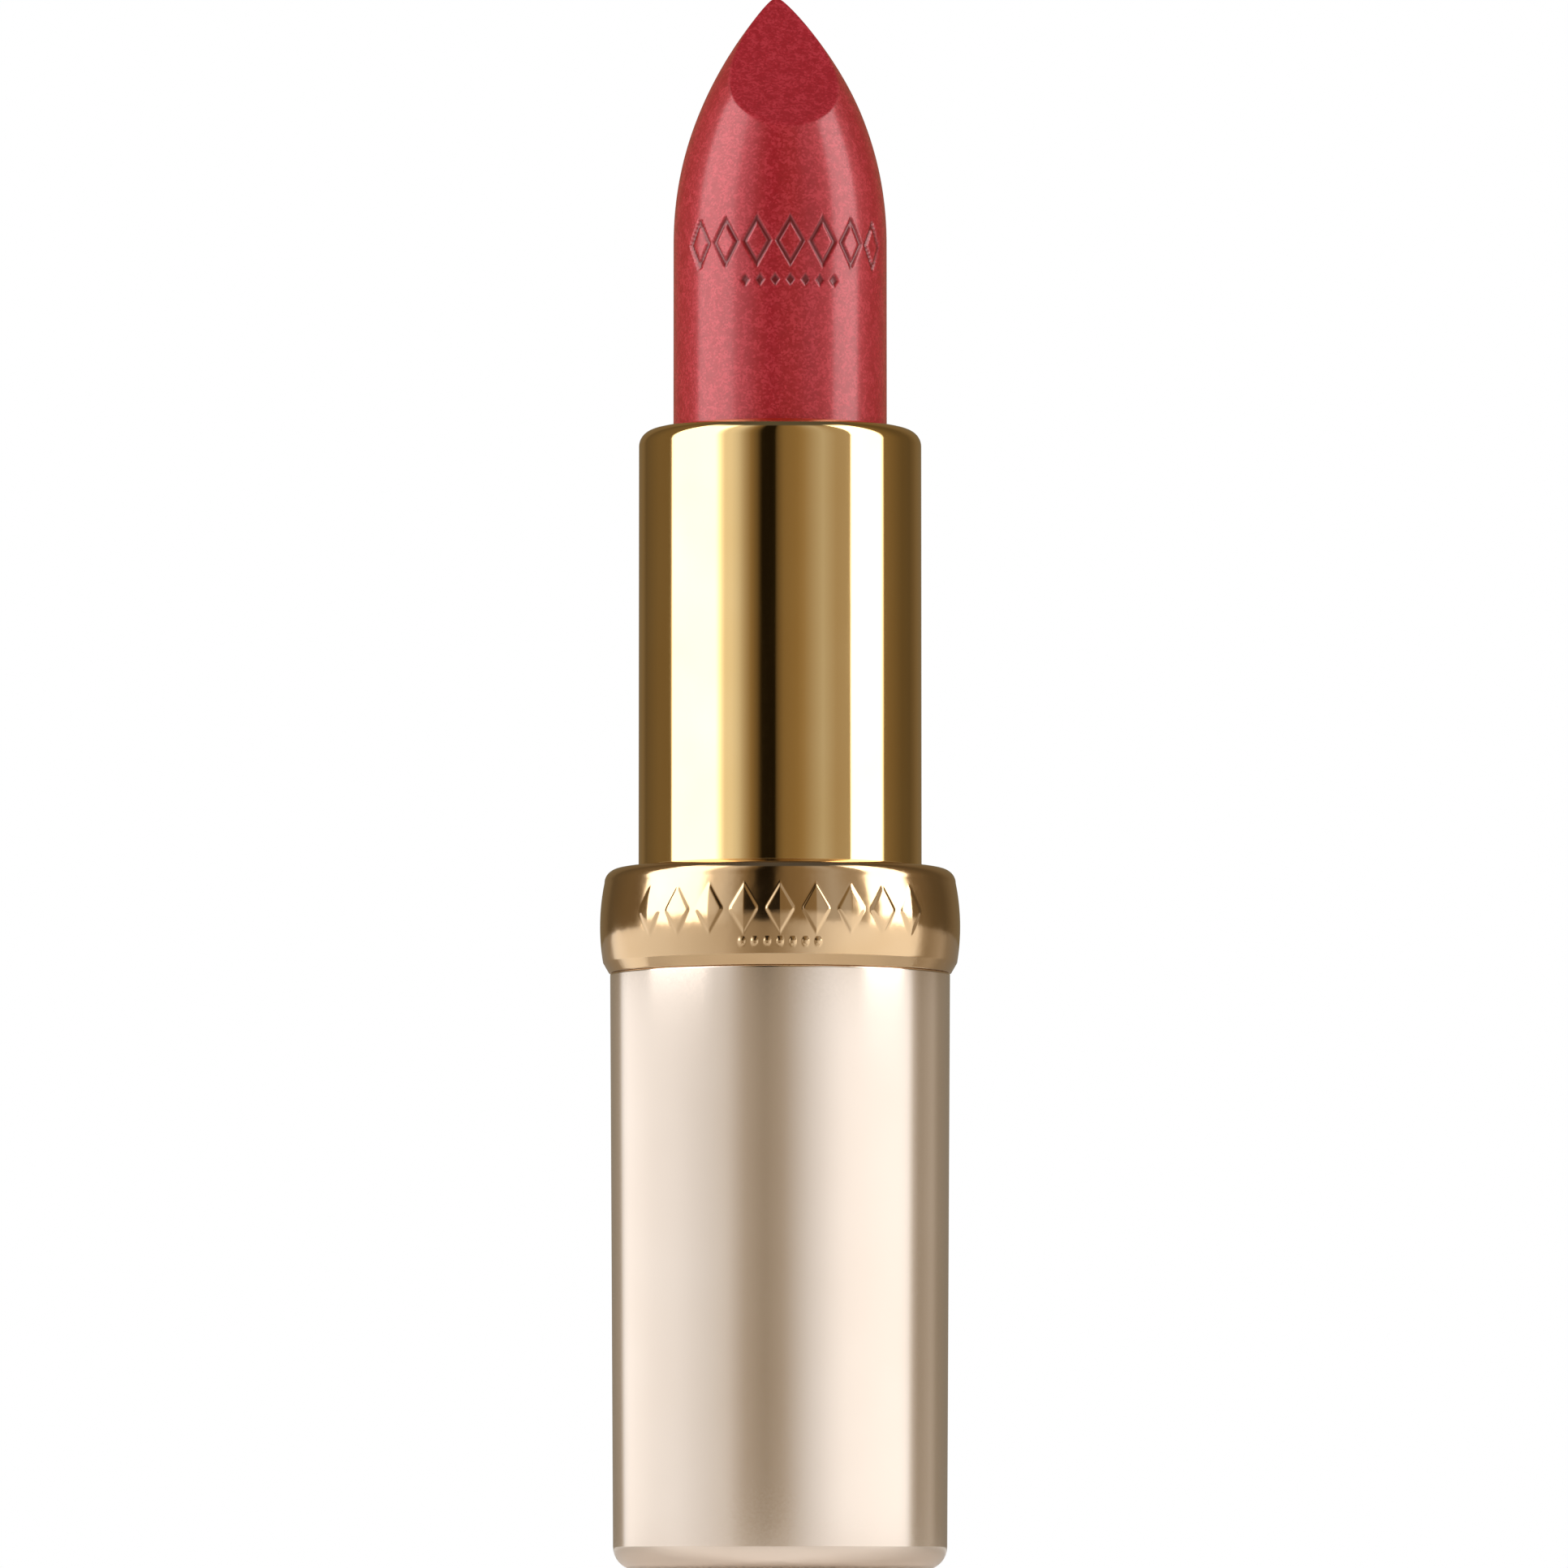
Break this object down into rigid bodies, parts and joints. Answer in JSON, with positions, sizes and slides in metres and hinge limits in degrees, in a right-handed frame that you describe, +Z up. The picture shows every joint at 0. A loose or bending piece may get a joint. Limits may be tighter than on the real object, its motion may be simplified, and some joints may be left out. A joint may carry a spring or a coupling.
{
  "type": "twist-up lipstick case",
  "caption": "Open twist-up lipstick: tapered satin base with a barrel collar, polished sleeve that turns, and a raised slant-faced bullet in a cup.",
  "frame": {"origin": "centre of the foot of the base, on the surface it stands on", "axes": "+Z up along the case's axis, from foot to bullet tip; -Y is the front, toward which the bullet's slanted face looks"},
  "size_m": [0.0204, 0.0205, 0.0895],
  "materials": {
    "satin_champagne": "satin champagne anodised",
    "label_paper": "blank coated label stock",
    "weight_steel": "turned, bare",
    "dark_liner": "moulded black, unseen in use",
    "metallised_gold": "vacuum-metallised pale gold under lacquer",
    "white_moulding": "moulded natural white",
    "black_rubber": "moulded elastic ring",
    "ivory_moulding": "moulded, greased groove",
    "polished_gold": "mirror-polished gold anodised",
    "red_lipstick": "moulded wax with fine pearl shimmer"
  },
  "bodies": {
    "base": {"base_shell": "satin_champagne", "base_label": "label_paper", "base_weight": "weight_steel", "base_liner": "dark_liner", "collar_ring": "metallised_gold", "guide_tube": "white_moulding", "drag_ring": "black_rubber"},
    "turning_sleeve": {"sleeve": "polished_gold", "cam_tube": "ivory_moulding"},
    "elevator": {"elevator_cup": "white_moulding", "bullet": "red_lipstick"}
  },
  "joints": [
    {"name": "sleeve_turn", "type": "hinge", "parent": "base", "child": "turning_sleeve", "pos_m": [0, 0, 0.0395], "axis": [0, 0, 1], "range_deg": [0, 540]},
    {"name": "bullet_rise", "type": "slide", "parent": "base", "child": "elevator", "axis": [0, 0, 1], "range_m": [-0.02565, 0]}
  ],
  "couplings": [
    {"joint": "sleeve_turn", "follows": "bullet_rise", "rad_per_m": -367.44}
  ]
}
